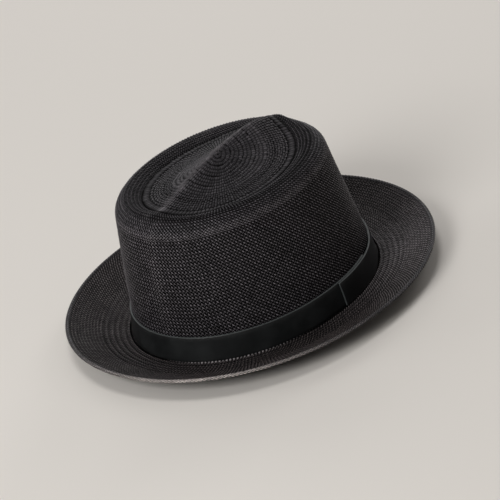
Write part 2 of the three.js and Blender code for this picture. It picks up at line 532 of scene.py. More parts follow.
@dataclass
class Weave:
    """A patch of plain weave. Its strands run at 45 degrees to the rows.

    A cell is one column wide and one row high. A strand of each slant floats over the
    other once in it.
    """

    columns: int
    start: float
    end: float
    pitch: float = 3.0 * MM
    strand: float = 0.44
    proud: float = 0.14 * MM
    narrower: float = 0.10
    wave: float = 0.42 * MM
    round_: float = 0.42 * MM
    sink: float = 0.36 * MM
    rib: float = 0.0
    last_rib: float = 0.0
    rib_rows: int = 1
    # how dark painted shade makes the grooves between ribs
    groove_shade: float = 0.5
    along: int = 4
    across: int = 2
    wander: float = 0.05
    ragged: float = 0.08
    # how far painted shade dims the strands
    faint: float = 1.0
    eased: float = 0.0
    deepest: float = 50 * DEGREE
    per_template: int = 1
    gauge_sheen_and_wear: Gauge | None = None
    rubbed: Gauge | None = None
    rubbed_over: float = 0.55
    # how wide the darkest strand is, and how much wider the palest
    narrowest: float = 0.85
    wider: float = 0.3
    # how much a crossing's own tint counts beside its strand's
    bead_share: int = 2
    # the rows' slow waves: two counts round the hat, a phase, and radians of wave a row
    waves: tuple[int, int] = (3, 2)
    wave_phase: float = 2
    wave_row: float = 1.7
    # where the grooves between ribs lie: -1 for the middles of rows, 1 for their ends
    grooves: ClassVar[int] = -1
    welded: ClassVar[float] = 1e-4
    least_rib: ClassVar[float] = 0.1 * MM

    @property
    def rows(self) -> int:
        """Rows between the start and the end."""
        return max(1, round((self.end - self.start) / self.pitch))

    def template(self) -> bmesh.types.BMesh:
        """Makes the strands of one column of cells, on a drum one cell round for each column."""
        column = bmesh.new()
        column.loops.layers.uv.new("strand")
        layers = [column.verts.layers.float.new(name) for name in ("kind", "over")]
        drum = self.columns / TURN
        for row in range(self.rows):
            for kind in Strands:
                half = 0.5 if kind is Strands.LIGHT else 0.0
                slim = self.strand - kind.value * self.narrower / 2
                made = bmesh.ops.create_grid(
                    column, x_segments=self.across, y_segments=self.along, size=0.5)
                for vert in made["verts"]:
                    u, t = vert.co.x, vert.co.y
                    off = u * slim / math.sqrt(2)
                    over = math.cos(TURN * t)
                    lift = self.wave * over + self.round_ * (1 - 4 * u * u)
                    lift -= kind.value * self.proud
                    height = row + half + kind.value * (t - off)
                    self.set_on_drum(vert, (half + t + off) / drum, height, lift)
                    vert[layers[0]], vert[layers[1]] = kind.value, 0.5 + 0.5 * over
        return column

    def set_on_drum(self, vert: bmesh.types.BMVert, angle: float, height: float,
                    lift: float) -> None:
        """Sets a vertex on the drum at an angle, a height in rows and a lift."""
        radius = self.columns / TURN + lift / self.pitch
        vert.co = (math.sin(angle) * radius, -math.cos(angle) * radius, height)

    def strand_number(self, column: Array, row: Array, kind: Array) -> Array:
        """Numbers the strands that vertices belong to."""
        return np.round(column - kind * row)

    def bead_number(self, column: Array, row: Array, kind: Array) -> Array:
        """Numbers the crossings along each strand."""
        return np.round(row - 0.25 * (1 + kind))

    def strand_place(self, column: Array, row: Array, kind: Array) -> tuple:
        """Gives each corner's place across its strand, from 0 to 1, and along it, in cells."""
        side = column - kind * row
        side = (side - np.round(side)) / (self.strand * math.sqrt(2)) + 0.5
        return side, (column + kind * row) / 2

    def groove(self, row: Array) -> Array:
        """Gives how deep the grooves between ribs are at each row."""
        deep = self.rib + (self.last_rib - self.rib) * row / self.rows
        return deep * (0.5 + self.grooves * 0.5 * np.cos(TURN * row / self.rib_rows))

    def mesh(self, name: str, block: Block, lay: Lay) -> Mesh:
        """Weaves the patch and lays it on a block.

        Args:
            name: the mesh's name.
            block: the block.
            lay: puts runs, angles and lifts on it.

        Returns:
            The finished mesh.
        """
        woven = self.template()
        repeats = self.columns // self.per_template
        group = max(n for n in range(1, math.isqrt(repeats) + 1) if repeats % n == 0)
        for times, each in ((group, 1), (repeats // group, group)):
            everything = woven.verts[:] + woven.edges[:] + woven.faces[:]
            bmesh.ops.spin(
                woven, geom=everything, cent=(0, 0, 0), axis=(0, 0, 1), dvec=(0, 0, 0),
                angle=TURN * (times - 1) * each / repeats, steps=times - 1,
                use_merge=False, use_duplicate=True)
        bmesh.ops.remove_doubles(woven, verts=woven.verts[:], dist=self.welded)
        mesh = into_mesh(woven, name)
        self.pull(mesh, block, lay)
        return mesh

    def pull(self, mesh: Mesh, block: Block, lay: Lay) -> None:
        """Pulls the woven drum over its block and writes what its finish reads.

        Args:
            mesh: the woven drum.
            block: the block.
            lay: puts runs, angles and lifts on it.
        """
        x, y, row = points_of(mesh).T
        kind = read(mesh, "kind")
        column = (np.arctan2(x, -y) / TURN % 1) * self.columns
        lift = (np.hypot(x, y) - self.columns / TURN) * self.pitch
        strand = self.strand_number(column, row, kind) % self.columns
        bead = self.bead_number(column, row, kind) % self.columns
        tint = scatter(strand, kind) + self.bead_share * scatter(strand, kind, bead)
        tint = tint / (1 + self.bead_share)
        width = self.narrowest + self.wider * tint
        turned = TURN * column / self.columns
        one, other = self.waves
        shift_row = self.wander * (
            np.sin(one * turned + self.wave_phase) + np.sin(row * self.wave_row + other * turned))
        shift_row = shift_row + self.ragged * (scatter(strand, kind, np.ones(len(row))) - 0.5)
        step = (self.end - self.start) / self.rows
        run = self.start + (row + shift_row * 0.5) * step
        angle = block.angle_at(column / self.columns)
        groove = self.groove(row) * (1 - self.eased * opposite(angle - self.deepest))
        height = lift * width - self.sink - groove
        move_points(mesh, lay(run, angle, height))
        write(mesh, "tint", tint)
        # the share by which the finish pales the straw: painted highlights and sheen, and on the
        # roll partly real rubbing and dust
        if self.gauge_sheen_and_wear:
            write(mesh, "sheen_and_wear", self.gauge_sheen_and_wear(run, angle))
        over = read(mesh, "over")
        # painted shade: strands are darkened in the grooves between ribs and dimmed by the faint
        # share
        highest = max(self.rib, self.last_rib, self.least_rib)
        over *= self.faint * (1 - self.groove_shade * groove / highest)
        if self.rubbed:
            over += (self.rubbed_over - over) * self.rubbed(run, angle)
        mesh.attributes["over"].data.foreach_set("value", over.astype(np.float32))
        self.write_uv(mesh, column, row, kind)
        mesh.polygons.foreach_set("use_smooth", np.ones(len(mesh.polygons), bool))

    def write_uv(self, mesh: Mesh, column: Array, row: Array,
                 kind: Array) -> None:
        """Writes the strand map: across the strand and along it.

        Args:
            mesh: the woven mesh.
            column: each vertex's column.
            row: each vertex's row.
            kind: each vertex's set of strands.
        """
        index = np.empty(len(mesh.loops), int)
        mesh.loops.foreach_get("vertex_index", index)
        corners = column[index].reshape(-1, 4)
        behind = corners < corners.max(axis=1, keepdims=True) - self.columns / 2
        corners = (corners + self.columns * behind).ravel()
        pairs = np.stack(self.strand_place(corners, row[index], kind[index]), axis=1)
        mesh.uv_layers["strand"].data.foreach_set("uv", pairs.astype(np.float32).ravel())


@dataclass
class RingWeave(Weave):
    """A patch of the top: strands that run in to the middle, crossed by strands round it.

    Staggered, it is plain weave. Otherwise each row is a ring of dashes, with a sunken
    strand round the hat between two rows.
    """

    staggered: bool = True
    reach: float = 1.5
    dash: float = 0.96
    per_template: int = 2
    grooves: ClassVar[int] = 1

    def template(self) -> bmesh.types.BMesh:
        """Makes the strands of two neighbouring columns of cells on the drum."""
        pair = bmesh.new()
        pair.loops.layers.uv.new("strand")
        layers = [pair.verts.layers.float.new(name) for name in ("kind", "over")]
        for row in range(self.rows):
            for column in range(self.per_template):
                middle = (column + 0.5, row + 0.5)
                if self.staggered:
                    kind = Strands.HEAVY if (row + column) % 2 else Strands.LIGHT
                    self.add_bead(pair, layers, kind, middle, self.reach)
                else:
                    ring = (column + 0.5, row)
                    self.add_bead(pair, layers, Strands.HEAVY, middle, self.dash)
                    self.add_bead(pair, layers, Strands.LIGHT, ring, 1.0, self.round_)
        return pair

    def add_bead(self, pair: bmesh.types.BMesh, layers: list, kind: Strands,
                 middle: Pair, long: float, sunk: float = 0.0) -> None:
        """Adds the part of a strand that shows between two crossings.

        Args:
            pair: the mesh of the two columns.
            layers: its layers for the set of strands and for how far over a strand is.
            kind: the set that the strand belongs to.
            middle: the column and the row of the bead's middle.
            long: its length in cells.
            sunk: how far it lies below the others.
        """
        slim = self.strand - kind.value * self.narrower / 2
        made = bmesh.ops.create_grid(
            pair, x_segments=self.across, y_segments=self.along, size=0.5)
        for vert in made["verts"]:
            u, t = vert.co.x, vert.co.y * long
            over = math.cos(math.pi * t)
            lift = self.wave * over + self.round_ * (1 - 4 * u * u) - kind.value * self.proud - sunk
            side, ahead = (u * slim, t) if kind is Strands.HEAVY else (t, u * slim)
            height = min(max(middle[1] + ahead, 0.0), self.rows)
            self.set_on_drum(vert, (middle[0] + side) * TURN / self.columns, height, lift)
            vert[layers[0]], vert[layers[1]] = kind.value, 0.5 + 0.5 * over

    def strand_number(self, column: Array, row: Array, kind: Array) -> Array:
        """Numbers the strands that vertices belong to."""
        return np.where(kind < 0, np.floor(column), np.floor(row * 2))

    def bead_number(self, column: Array, row: Array, kind: Array) -> Array:
        """Numbers the crossings along each strand."""
        return np.where(kind < 0, np.floor(row), np.floor(column))

    def strand_place(self, column: Array, row: Array, kind: Array) -> tuple:
        """Gives each corner's place across its strand, from 0 to 1, and along it, in cells."""
        across, along = np.where(kind < 0, column, row), np.where(kind < 0, row, column)
        middle = np.floor(across) + 0.5 if self.staggered else np.round(across * 2) / 2
        return (across - middle) / self.strand + 0.5, along


@dataclass
class Shell:
    """A thin closed core under the strands, which shows dark between them."""

    columns: int = 128
    merge: float = 0.02 * MM

    def mesh(self, name: str, block: Block, lay: Lay, chain: list[Pair], closed: bool) -> Mesh:
        """Turns a profile round the hat and lays it on a block.

        Args:
            name: the mesh's name.
            block: the block.
            lay: puts runs, angles and lifts on it.
            chain: the profile, as runs and lifts.
            closed: whether the profile's last point joins its first.

        Returns:
            The finished mesh.
        """
        turned = bmesh.new()
        drum = self.columns / TURN
        verts = [turned.verts.new((0, -drum, step)) for step in range(len(chain))]
        pairs = list(zip(verts, verts[1:])) + ([(verts[-1], verts[0])] if closed else [])
        edges = [turned.edges.new(pair) for pair in pairs]
        bmesh.ops.spin(
            turned, geom=verts + edges, cent=(0, 0, 0), axis=(0, 0, 1), dvec=(0, 0, 0),
            angle=TURN, steps=self.columns, use_merge=True, use_duplicate=False)
        mesh = into_mesh(turned, name)
        x, y, step = points_of(mesh).T
        run, lift = np.array(chain).T[:, np.round(step).astype(int)]
        move_points(mesh, lay(run, block.angle_at(np.arctan2(x, -y) / TURN % 1), lift))
        face_out(mesh, merge=self.merge)
        return mesh


def face_out(mesh: Mesh, merge: float | None = None) -> None:
    """Faces a mesh outwards and shades it smooth.

    Args:
        mesh: the mesh.
        merge: how near points are merged first, if any are.
    """
    whole = bmesh.new()
    whole.from_mesh(mesh)
    if merge:
        bmesh.ops.remove_doubles(whole, verts=whole.verts[:], dist=merge)
    bmesh.ops.recalc_face_normals(whole, faces=whole.faces[:])
    for face in whole.faces:
        face.smooth = True
    whole.to_mesh(mesh)
    whole.free()


def gather(name: str, meshes: list[Mesh]) -> Mesh:
    """Joins meshes into one.

    Args:
        name: the joined mesh's name.
        meshes: the meshes, which are used up.

    Returns:
        The joined mesh.
    """
    whole = bmesh.new()
    for mesh in meshes:
        whole.from_mesh(mesh)
        bpy.data.meshes.remove(mesh)
    return into_mesh(whole, name)


def fit_piece(mesh: Mesh, material: bpy.types.Material,
              node: str) -> bpy.types.Object:
    """Makes a piece of the hat from its mesh.

    Args:
        mesh: the finished mesh, in place.
        material: its finish.
        node: the CAD node that it stands for.

    Returns:
        The piece.
    """
    piece = add_object(mesh.name, mesh)
    mesh.materials.clear()
    mesh.materials.append(material)
    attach(piece, BODY)
    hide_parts(node)
    mesh.calc_loop_triangles()
    log.info("%s: %d triangles", mesh.name, len(mesh.loop_triangles))
    return piece


# Finishes


class Flow:
    """A number that changes over a surface. Its operators add Math nodes."""

    def __init__(self, bench: "Bench", socket: bpy.types.NodeSocket) -> None:
        """Wraps a socket."""
        self.bench, self.socket = bench, socket

    def math(self, operation: str, *others: Any, flip: bool = False) -> "Flow":
        """Adds one Math node.

        Args:
            operation: the node's operation.
            others: its other values, numbers or flows.
            flip: whether this flow is the second value.

        Returns:
            The node's value.
        """
        values = [self, *others]
        if flip:
            values[:2] = values[1::-1]
        node = self.bench.node("ShaderNodeMath", {"operation": operation}, dict(enumerate(values)))
        return Flow(self.bench, node.outputs[0])

    def __add__(self, other: Any) -> "Flow":
        """self + other."""
        return self.math("ADD", other)

    __radd__ = __add__

    def __mul__(self, other: Any) -> "Flow":
        """self * other."""
        return self.math("MULTIPLY", other)

    def __sub__(self, other: Any) -> "Flow":
        """self - other."""
        return self.math("SUBTRACT", other)

    def __rsub__(self, other: Any) -> "Flow":
        """other - self."""
        return self.math("SUBTRACT", other, flip=True)

    def ramp(self, low: float, high: float, to_low: float = 0.0, to_high: float = 1.0) -> "Flow":
        """Goes smoothly from one value to another between two limits."""
        node = self.bench.node("ShaderNodeMapRange", {"interpolation_type": "SMOOTHSTEP"}, {
            0: self, 1: low, 2: high, 3: to_low, 4: to_high})
        return Flow(self.bench, node.outputs[0])


class Bench:
    """Builds the nodes of one material."""

    def __init__(self, name: str) -> None:
        """Starts a material with its main shader."""
        self.material = bpy.data.materials.new(name)
        self.material.use_nodes = True
        self.tree = self.material.node_tree
        self.shader = next(n for n in self.tree.nodes if n.type == "BSDF_PRINCIPLED")

    def node(self, kind: str, settings: dict[str, Any], inputs: dict[Any, Any]) -> bpy.types.Node:
        """Adds a node.

        Args:
            kind: the node's type.
            settings: its own settings, set first.
            inputs: values, flows or sockets for its sockets, by number or name.

        Returns:
            The node.
        """
        node = self.tree.nodes.new(kind)
        for setting, value in settings.items():
            setattr(node, setting, value)
        for socket, value in inputs.items():
            self.feed(node.inputs[socket], value)
        return node

    def feed(self, socket: bpy.types.NodeSocket, value: Any) -> None:
        """Sets a socket to a value, or links it."""
        if isinstance(value, Flow):
            value = value.socket
        if isinstance(value, bpy.types.NodeSocket):
            self.tree.links.new(value, socket)
        else:
            socket.default_value = value

    def attribute(self, name: str) -> Flow:
        """Reads a number that the mesh carries."""
        node = self.node("ShaderNodeAttribute", {"attribute_name": name}, {})
        return Flow(self, node.outputs["Fac"])

    def strand_map(self) -> tuple[Flow, Flow]:
        """Reads the strand map: across the strand and along it."""
        uv = self.node("ShaderNodeUVMap", {"uv_map": "strand"}, {})
        parts = self.node("ShaderNodeSeparateXYZ", {}, {0: uv.outputs[0]})
        return Flow(self, parts.outputs[0]), Flow(self, parts.outputs[1])

    def place(self) -> bpy.types.NodeSocket:
        """Reads Object coordinates."""
        return self.node("ShaderNodeTexCoord", {}, {}).outputs["Object"]

    def noise(self, where: Any, scale: float, detail: float = 2.0, rough: float = 0.5) -> Flow:
        """Adds a noise, whose values lie round 0.5."""
        node = self.node("ShaderNodeTexNoise", {}, {
            "Vector": where, "Scale": scale, "Detail": detail, "Roughness": rough})
        return Flow(self, node.outputs["Fac"])

    def vector(self, x: Any, y: Any, z: Any) -> bpy.types.NodeSocket:
        """Joins three numbers into coordinates."""
        return self.node("ShaderNodeCombineXYZ", {}, {0: x, 1: y, 2: z}).outputs[0]

    def blend(self, factor: Any, first: Any, second: Any) -> bpy.types.NodeSocket:
        """Mixes two colours; the factor is the second one's share."""
        node = self.node("ShaderNodeMix", {"data_type": "RGBA"}, {0: factor, 6: first, 7: second})
        return node.outputs[2]

    def bump(self, height: Flow, distance: float, strength: float = 1.0) -> None:
        """Sends a height through a bump into the shader."""
        node = self.node("ShaderNodeBump", {}, {
            "Strength": strength, "Distance": distance, "Height": height})
        self.tree.links.new(node.outputs[0], self.shader.inputs["Normal"])

    def finish(self, **sockets: Any) -> bpy.types.Material:
        """Feeds the shader's sockets by name and gives the material."""
        for name, value in sockets.items():
            self.feed(self.shader.inputs[name.replace("_", " ")], value)
        return self.material


@dataclass(frozen=True)
class StrawFinish:
    """Dyed straw: flat glossy strands with fine fibres and uneven dye, with painted shade in the
    gaps, where strands dip and at their edges, and paler tops that are partly a painted highlight.
    """

    name: str
    # the gap colour is painted shade where strands dip under others and at their edges; the pale
    # colour on their tops is partly a painted highlight
    gap: Colour = (0.0006, 0.0005, 0.0006, 1)
    dye: Colour = (0.0060, 0.0054, 0.0064, 1)
    pale: Colour = (0.270, 0.246, 0.270, 1)
    # the colour of painted highlights and sheen, and on the roll of rubbing and dust
    sheen_and_wear: Colour = (0.36, 0.33, 0.35, 1)
    heavy: float = 0.90
    light: float = 0.30
    # how far over a strand must ride, and how near its middle a point must lie, to go from painted
    # shade to fully lit
    lit: Pair = (0.28, 0.90)
    edge: float = 0.30
    roughness: float = 0.50
    gloss: float = 0.55
    # fibres: how many across a strand, along a cell, and how far strands differ
    fibres: tuple[float, float, float] = (7.0, 0.9, 40.0)
    clouds: float = 38.0
    # how much the strand's tint, its fibres, the clouds of dye and all strands add to the shade
    shades: tuple[float, float, float, float] = (0.60, 0.35, 0.15, 0.15)

    def material(self) -> bpy.types.Material:
        """Builds the material."""
        bench = Bench(self.name)
        side, along = bench.strand_map()
        tint = bench.attribute("tint")
        over = bench.attribute("over")
        share = bench.attribute("kind").ramp(-1.0, 1.0, self.heavy, self.light)
        across, run, strands = self.fibres
        where = bench.vector(side * across, along * run, tint * strands)
        fibre = bench.noise(where, 1.0, 3.0, 0.6)
        cloud = bench.noise(bench.place(), self.clouds, 3.0, 0.55)
        # painted shade: each strand is darker towards its edges and where it dips under the others,
        # down to the gap colour
        edge = (side * (1.0 - side) * 4.0).ramp(self.edge, 1.0)
        shade = over.ramp(*self.lit) * edge
        tints, fibred, clouded, least = self.shades
        vary = tint * tints + fibre.ramp(0.40, 0.75) * fibred
        vary = vary + cloud.ramp(0.35, 0.75) * clouded + least
        color = bench.blend(shade, self.gap, self.dye)
        # paler strand tops, partly a painted highlight
        color = bench.blend(shade * share * vary, color, self.pale)
        # paled by the mesh's share of painted highlight and sheen, and on the roll partly of real
        # rubbing and dust
        color = bench.blend(bench.attribute("sheen_and_wear") * shade * vary, color, self.sheen_and_wear)
        bench.bump(fibre, 0.10 * MM, 0.6)
        rough = self.roughness + (fibre - 0.5) * 0.30 + (1.0 - shade) * 0.35
        return bench.finish(
            Base_Color=color, Roughness=rough, Specular_IOR_Level=0.07,
            Coat_Weight=shade * self.gloss * (tint * 0.5 + 0.75), Coat_Roughness=0.34)


@dataclass(frozen=True)
class CoreFinish:
    """The dark straw seen between the strands."""

    name: str
    dark: Colour = (0.0035, 0.0030, 0.0032, 1)
    light: Colour = (0.008, 0.007, 0.0073, 1)
    grain: float = 900.0

    def material(self) -> bpy.types.Material:
        """Builds the material."""
        bench = Bench(self.name)
        grain = bench.noise(bench.place(), self.grain, 3.0)
        color = bench.blend(grain.ramp(0.35, 0.7), self.dark, self.light)
        bench.bump(grain, 0.2 * MM, 0.6)
        return bench.finish(Base_Color=color, Roughness=grain * 0.2 + 0.7, Specular_IOR_Level=0.05)


@dataclass(frozen=True)
class LeatherFinish:
    """Smooth dyed leather with a fine grain, a soft sheen and paler cut edges, partly the leather's
    own edge colour and partly a painted highlight.
    """

    name: str
    dark: Colour = (0.0092, 0.0100, 0.0103, 1)
    light: Colour = (0.0155, 0.0168, 0.0172, 1)
    edge: Colour = (0.060, 0.067, 0.067, 1)
    pores: float = 1500.0
    clouds: float = 55.0
    grain: float = 700.0

    def material(self) -> bpy.types.Material:
        """Builds the material."""
        bench = Bench(self.name)
        where = bench.place()
        grain = bench.node("ShaderNodeTexVoronoi", {"feature": "DISTANCE_TO_EDGE"}, {
            "Vector": where, "Scale": self.pores})
        pores = Flow(bench, grain.outputs["Distance"]).ramp(0.0, 0.35)
        cloud = bench.noise(where, self.clouds, 4.0, 0.55)
        fine = bench.noise(where, self.grain, 3.0, 0.6)
        rim = bench.attribute("rim")
        color = bench.blend(cloud.ramp(0.35, 0.7), self.dark, self.light)
        # paler cut edges: partly the leather's own edge colour, partly a painted highlight
        color = bench.blend(rim.ramp(0.2, 0.9) * (fine * 0.5 + 0.65), color, self.edge)
        bench.bump(pores * 0.5 + fine * 0.5, 0.05 * MM, 0.5)
        rough = 0.40 + (cloud - 0.5) * 0.25 + (fine - 0.5) * 0.12 + rim * 0.15
        return bench.finish(Base_Color=color, Roughness=rough, Specular_IOR_Level=0.45)


@dataclass(frozen=True)
class FloorFinish:
    """Plain pale paper."""

    name: str
    color: Colour = (0.84, 0.80, 0.75, 1)

    def material(self) -> bpy.types.Material:
        """Builds the material."""
        bench = Bench(self.name)
        return bench.finish(Base_Color=self.color, Roughness=0.9, Specular_IOR_Level=0.1)


# Sub-assemblies


@dataclass
class Crown:
    """The woven crown: a dark core with strands outside and inside."""

    columns: int = 189
    start: float = 16 * MM
    wall_rows: int = 28
    pitch: float = 3.0 * MM
    core_out: float = -0.95 * MM
    core_in: float = -1.20 * MM
    core_steps: int = 72
    straw: float = 1.6 * MM
    # how far the rim's weave laps the wall's, how much is left open at the middle, where the
    # inside begins, how much flatter ribs get round the hat, and how much the top's rows stray
    lap: float = 0.8 * MM
    middle_left: float = 0.4 * MM
    inside_from: float = 0.5 * MM
    eased: float = 0.75
    top_wander: float = 0.34
    top_ragged: float = 1.4
    # columns and the mean radius where each ring of the inside begins, from the dish's edge in
    rings: tuple[tuple[int, float], ...] = (
        (132, 62), (98, 46), (66, 32), (42, 20), (24, 11), (10, 4.6))
    # the top, from the dish's edge in: where each ring begins, its columns, its rows' pitch,
    # whether it is plain weave, how deep its rows are ribbed, how wide its strands are and
    # how far painted shade dims them
    top: tuple[tuple[float, int, float, bool, float, float, float], ...] = (
        (58.0, 120, 5.4, False, 0.05, 0.74, 0.56),
        (52.6, 144, 2.0, True, 0.10, 0.84, 1.0),
        (36.5, 108, 2.8, False, 0.22, 0.70, 0.86),
        (27.5, 84, 2.8, False, 0.22, 0.70, 0.86),
        (18.5, 60, 2.8, False, 0.22, 0.70, 0.86),
        (9.5, 36, 2.8, False, 0.14, 0.70, 0.86),
        (3.6, 16, 2.8, False, 0.08, 0.70, 0.86),
    )
    # the rounded rim: its columns, the angle where its ribs are deepest and how dark painted
    # shade makes their grooves; then, for its outer half and its dished half, the mean radius
    # where it ends, its rows' pitch and how deep the rows are ribbed first and last
    rim_columns: int = 189
    rim_deepest: float = 75 * DEGREE
    rim_groove_shade: float = 0.72
    rim: tuple[tuple[float, float, float, float], ...] = (
        (72.0, 2.6, 0.02, 0.36), (58.0, 2.7, 0.66, 0.66))

    def run_at_radius(self, radius: float) -> float:
        """Gives the length of straw from the foot to a mean radius of the top."""
        mean = (CROWN_LEVELS[RIM:, 0] + CROWN_LEVELS[RIM:, 1]) / 2
        place = np.interp(-radius, -mean, np.arange(RIM, MIDDLE + 1))
        return CROWN.run_at(float(place))

    def spans(self, radii: list[float]) -> list[Pair]:
        """Gives where each ring of the top starts and ends, from the radii where rings begin."""
        starts = [self.run_at_radius(radius * MM) for radius in radii]
        return list(zip(starts, [*starts[1:], CROWN.run_at(MIDDLE) - self.middle_left]))

    def lay_inside(self, run: Array, angle: Array, lift: Array) -> Array:
        """Lays points on the crown's inside."""
        return CROWN.skin(run, angle, -self.straw - lift)

    @property
    def shoulder(self) -> float:
        """The length of straw from the foot to the wall's last row."""
        return self.start + self.wall_rows * self.pitch

    def make_wall(self) -> Mesh:
        """Weaves the wall from under the band to the shoulder."""
        wall = Weave(self.columns, self.start, self.shoulder, self.pitch, gauge_sheen_and_wear=CROWN.gauge_sheen_and_wear)
        return wall.mesh("crown_wall_weave", CROWN, CROWN.skin)

    def make_rim(self) -> list[Mesh]:
        """Weaves the two halves of the rounded rim, from the shoulder over to the dish."""
        begin = self.shoulder - self.lap
        meshes = []
        for name, (radius, pitch, rib, last_rib) in zip(("crown_rim_weave", "dish_rim"), self.rim):
            end = self.run_at_radius(radius * MM)
            ring = Weave(self.rim_columns, begin, end, pitch * MM, strand=0.46, sink=0.32 * MM,
                         rib=rib * MM, last_rib=last_rib * MM, groove_shade=self.rim_groove_shade,
                         gauge_sheen_and_wear=CROWN.gauge_sheen_and_wear, eased=self.eased, deepest=self.rim_deepest)
            meshes.append(ring.mesh(name, CROWN, CROWN.skin))
            begin = end
        return meshes

    def make_top(self, meshes: list[Mesh]) -> Mesh:
        """Weaves the rings of the dished top.

        Args:
            meshes: what is woven of the top already, which is used up.

        Returns:
            The whole top.
        """
        spans = self.spans([row[0] for row in self.top])
        for row, (start, end) in zip(self.top, spans):
            _, columns, pitch, staggered, rib, strand, faint = row
            ring = RingWeave(
                columns, start, end, pitch * MM, strand=strand, wave=0.30 * MM, round_=0.30 * MM,
                sink=0.26 * MM, rib=rib * MM, last_rib=rib * MM, staggered=staggered,
                wander=self.top_wander / pitch, ragged=self.top_ragged / pitch, faint=faint,
                groove_shade=0.32, gauge_sheen_and_wear=CROWN.gauge_sheen_and_wear, rubbed=CROWN.rubbed, eased=self.eased)
            meshes.append(ring.mesh("ring", CROWN, CROWN.skin))
        return gather("crown_top_weave", meshes)

    def make_inside(self) -> Mesh:
        """Weaves the inside with fewer faces."""
        spans = self.spans([radius for _, radius in self.rings])
        spans.insert(0, (self.inside_from, spans[0][0]))
        meshes = []
        for columns, (start, end) in zip([self.columns, *(n for n, _ in self.rings)], spans):
            ring = Weave(columns, start, end, self.pitch, along=2, across=1, round_=0.0)
            meshes.append(ring.mesh("inside", CROWN, self.lay_inside))
        return gather("crown_inner_weave", meshes)

    def make_core(self) -> Mesh:
        """Makes the thin closed core."""
        runs = np.linspace(0, CROWN.run_at(MIDDLE), self.core_steps)
        chain = [(run, self.core_in) for run in runs[::-1]]
        chain += [(run, self.core_out) for run in runs]
        return Shell().mesh("crown_core", CROWN, CROWN.skin, chain, closed=False)

    def build(self) -> list[bpy.types.Object]:
        """Builds and dresses the crown's pieces."""
        straw = StrawFinish("crown_straw")
        # the top's straw is a darker copy of the wall's: painted shade against the stronger light
        # on the top
        top = StrawFinish(
            "crown_top_straw_shaded", pale=(0.150, 0.137, 0.151, 1), heavy=0.58, light=0.42,
            lit=(0.15, 0.85), edge=0.2, gloss=0.30)
        inner = StrawFinish("crown_straw_inside", roughness=0.6)
        core = CoreFinish("crown_core_straw")
        rim = StrawFinish(
            "crown_rim_straw", pale=(0.235, 0.214, 0.235, 1), heavy=0.80, light=0.45,
            lit=(0.10, 0.85), edge=0.2)
        outer, *dished = self.make_rim()
        made = ((self.make_core(), core), (self.make_wall(), straw), (outer, rim),
                (self.make_top(dished), top), (self.make_inside(), inner))
        return [fit_piece(mesh, finish.material(), "crown")
                for mesh, finish in made]


